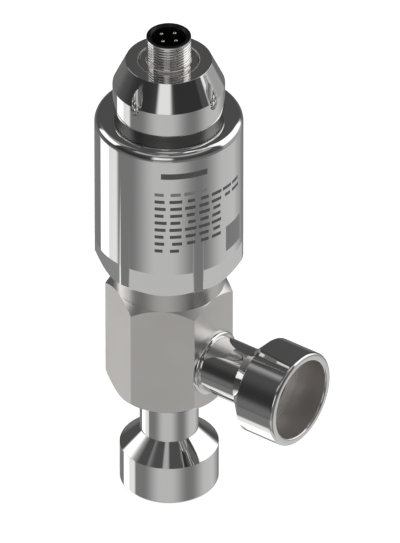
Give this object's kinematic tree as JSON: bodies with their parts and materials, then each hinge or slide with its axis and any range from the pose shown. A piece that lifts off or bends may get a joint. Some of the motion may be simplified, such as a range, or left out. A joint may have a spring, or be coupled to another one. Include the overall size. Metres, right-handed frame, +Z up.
{
  "type": "electric regulating valve",
  "caption": "Angle-pattern electric regulating valve: hexagon body, solder sockets below and at the side, polished motor housing, fluted conical cap and round threaded connector.",
  "frame": {"origin": "centre of the bottom solder end's rim, on the valve axis", "axes": "+Z up along the valve axis to the connector, +X along the side solder end, pointing out of its mouth"},
  "size_m": [0.0643, 0.04, 0.145],
  "materials": {
    "blasted_steel": "fine blasted stainless steel",
    "polished_steel": "mirror polished stainless steel",
    "turned_steel": "turned stainless steel",
    "connector_steel": "nickel-plated turned metal",
    "black_plastic": "moulded black plastic",
    "contact_metal": "plated round contacts",
    "seal_rubber": "black rubber",
    "gasket_copper": "soft copper",
    "gasket_plastic": "white sealing plastic",
    "bush_brass": "turned brass",
    "stator_steel": "pressed sheet steel",
    "bobbin_plastic": "moulded natural plastic",
    "winding_copper": "enamelled copper wire",
    "magnet_ferrite": "dark ring magnet",
    "lead_sleeve": "sleeved leads"
  },
  "bodies": {
    "valve": {"valve_body": "blasted_steel", "inlet_nipple": "polished_steel", "outlet_nipple": "polished_steel", "inlet_weld": "polished_steel", "outlet_weld": "polished_steel", "seat_gasket": "gasket_plastic", "seat_ring": "turned_steel", "guide_bush": "bush_brass", "stem_seal": "seal_rubber", "gland_nut": "turned_steel", "key_plate": "turned_steel", "body_gasket": "gasket_copper", "actuator_housing": "polished_steel", "motor_base": "stator_steel", "motor_end_plate": "stator_steel", "lower_bearing": "bush_brass", "upper_bearing": "bush_brass", "lower_stator_cup": "stator_steel", "upper_stator_cup": "stator_steel", "lower_pole_ring": "stator_steel", "upper_pole_ring": "stator_steel", "lower_bobbin": "bobbin_plastic", "upper_bobbin": "bobbin_plastic", "lower_winding": "winding_copper", "upper_winding": "winding_copper", "terminal_cap": "polished_steel", "cap_o_ring": "seal_rubber", "connector_shell": "connector_steel", "connector_o_ring": "seal_rubber", "connector_insert": "black_plastic", "contact_pins": "contact_metal", "motor_leads": "lead_sleeve"},
    "rotor": {"rotor_hub": "bush_brass", "rotor_magnet": "magnet_ferrite"},
    "stem": {"spindle": "turned_steel", "valve_plug": "turned_steel"}
  },
  "joints": [
    {"name": "rotor_spin", "type": "hinge", "parent": "valve", "child": "rotor", "pos_m": [0, 0, 0.0925], "axis": [0, 0, -1], "range_deg": [0, 1575]},
    {"name": "stem_slide", "type": "slide", "parent": "valve", "child": "stem", "axis": [0, 0, 1], "range_m": [0, 0.00438]}
  ],
  "couplings": [
    {"joint": "rotor_spin", "follows": "stem_slide", "rad_per_m": 6283.2}
  ]
}
